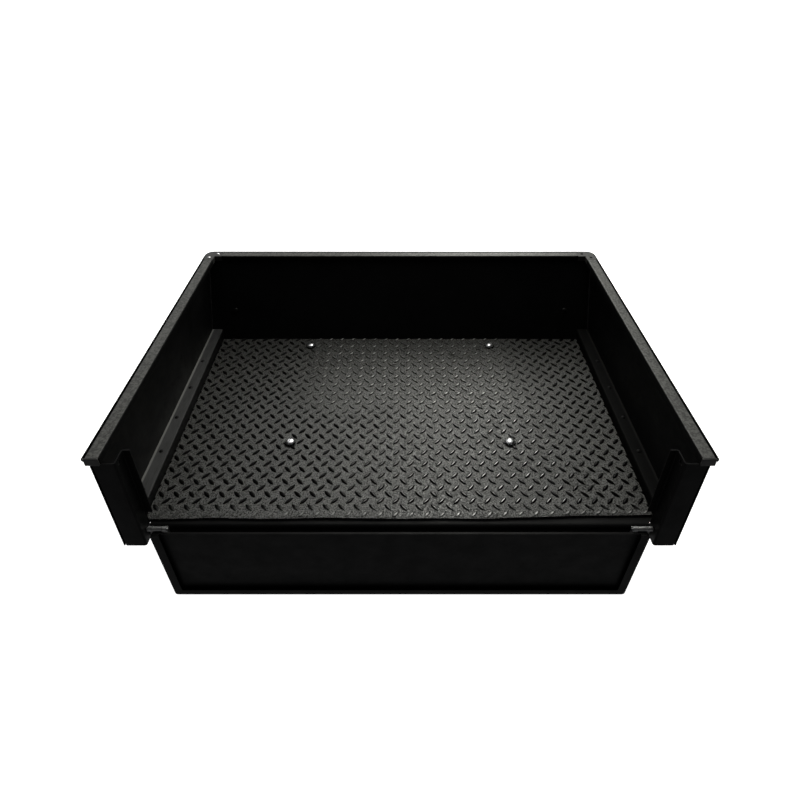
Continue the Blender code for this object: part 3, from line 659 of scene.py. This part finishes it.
def make_mat(material):
    """The treaded mat that replaces the frame's plain one, with its sides and underside."""
    bm = bmesh.new()
    layers = {name: bm.verts.layers.float.new(f"tread_{name}") for name in ("bar", "crest", "lit_patch")}
    for shift, slope in ((0.0, -1.0), (0.5, 1.0)):
        for column in TREAD_COLUMNS:
            for row in TREAD_ROWS:
                x = TREAD_X + (column + shift) * TREAD_PITCH
                y = TREAD_Y + (row + shift) * TREAD_PITCH
                beside = abs(x) > MAT_HIGH.x + TREAD_PITCH
                within = MAT_LOW.y - TREAD_PITCH < y < MAT_HIGH.y + TREAD_PITCH
                if within and not beside:
                    tread_cell(bm, layers, Vector((x, y)), slope)
    bmesh.ops.remove_doubles(bm, verts=bm.verts, dist=WELD_DISTANCE)
    for point, normal in (
            ((MAT_LOW.x, 0, 0), (-1, 0, 0)), ((MAT_HIGH.x, 0, 0), (1, 0, 0)),
            ((0, MAT_LOW.y, 0), (0, -1, 0)), ((0, MAT_HIGH.y, 0), (0, 1, 0))):
        geom = list(bm.verts) + list(bm.edges) + list(bm.faces)
        bmesh.ops.bisect_plane(
            bm, geom=geom, plane_co=point, plane_no=normal, clear_outer=True, dist=WELD_DISTANCE)
    bolts = list(bolt_centres())
    for vert in bm.verts:
        rise, stands = mat_surface(vert.co, bolts)
        vert[layers["lit_patch"]] = lit_patch_place(vert.co)
        vert[layers["bar"]] *= stands
        shine = max(crest_light_pool(vert.co.x), 0.8 * vert[layers["lit_patch"]])
        vert[layers["crest"]] *= min(stands * 1.5, 1.0) * shine
        vert.co.z = MAT_HIGH.z + rise + vert.co.z * stands
        vert.co.y += edge_inset(vert.co)
    border = [edge for edge in bm.edges if edge.is_boundary]
    skirt = bmesh.ops.extrude_edge_only(bm, edges=border)["geom"]
    for item in skirt:
        if isinstance(item, bmesh.types.BMVert):
            item.co.z = MAT_LOW.z
    bmesh.ops.contextual_create(bm, geom=[edge for edge in bm.edges if edge.is_boundary])
    bmesh.ops.recalc_face_normals(bm, faces=bm.faces)
    mat = mesh_object(bm, "liner_mat", sharp_degrees=40.0)
    mat.data.materials.append(material)
    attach(mat, "bed")
    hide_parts("bed_mat")


# ---------------------------------------------------------------- painted shade strip outside the top rails

def edge_strip_path():
    """Points and outward directions from the left rail's rear end, around both caps, to the right one's."""
    yield Vector((-RAIL_OUTER.x, RAIL_REAR)), Vector((-1.0, 0.0))
    for side, start in ((-1.0, math.pi), (1.0, math.pi / 2.0)):
        centre = Vector((side * (RAIL_OUTER.x - CAP_RADIUS), RAIL_OUTER.y - CAP_RADIUS))
        for step in range(CAP_STEPS + 1):
            angle = start - math.pi / 2.0 * step / CAP_STEPS
            out = Vector((math.cos(angle), math.sin(angle)))
            yield centre + out * CAP_RADIUS, out
    yield Vector((RAIL_OUTER.x, RAIL_REAR)), Vector((1.0, 0.0))


def make_edge_shade_strip(material):
    """One black strip of painted shade, shaped as a rolled edge, outside both top rails and the headboard
    rail.
    """
    bm = bmesh.new()
    loops = []
    for place, out in edge_strip_path():
        loop = []
        for reach, drop in TRIM_PROFILE:
            point = place + out * reach * TRIM_WIDTH
            loop.append(bm.verts.new((point.x, point.y, RAIL_TOP - TRIM_BELOW_RAIL - drop * TRIM_HEIGHT)))
        loops.append(loop)
    for first, second in zip(loops, loops[1:]):
        for index in range(len(first)):
            other = (index + 1) % len(first)
            bm.faces.new((first[index], first[other], second[other], second[index]))
    bm.faces.new(loops[0])
    bm.faces.new(loops[-1])
    bmesh.ops.recalc_face_normals(bm, faces=bm.faces)
    shade_strip = mesh_object(bm, "rail_edge_shade_strip", sharp_degrees=50.0)
    shade_strip.data.materials.append(material)
    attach(shade_strip, "bed")


# ---------------------------------------------------------------- rivets in the corner caps

def make_rivets(looks):
    """Two domed rivets in each corner cap, in the material given for its side; the slot given with it is
    not used.
    """
    for side, sign in SIDES:
        low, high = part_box(f"{side}_corner_cap")
        outer = max(abs(low.x), abs(high.x))
        material, slot = looks[side]
        for index, (inward, back) in enumerate(RIVET_PLACES):
            bm = bmesh.new()
            bmesh.ops.create_uvsphere(bm, u_segments=20, v_segments=12, radius=RIVET_RADIUS)
            bmesh.ops.scale(bm, verts=bm.verts, vec=(1.0, 1.0, RIVET_FLATTENED))
            rivet = mesh_object(bm, f"cap_rivet_{side}_{index + 1}")
            rivet.data.materials.append(material)
            rivet.location = (sign * (outer - inward), high.y - back, high.z)
            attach(rivet, "bed")


bpy.context.scene.view_settings.view_transform = "Standard"
make_camera()
make_floor()
make_world()
make_lights()
MATERIALS = make_materials()
dress_frame(MATERIALS)
make_mat(MATERIALS["charcoal_rubber"])
make_edge_shade_strip(MATERIALS["edge_shade_coat"])
# Painted shade: the right cap's rivets get the dark screw material, the left ones the bright bolt material
make_rivets({
    "left": (MATERIALS["bright_bolt"], "zinc_plate"), "right": (MATERIALS["dark_screw"], "dark_screw")})
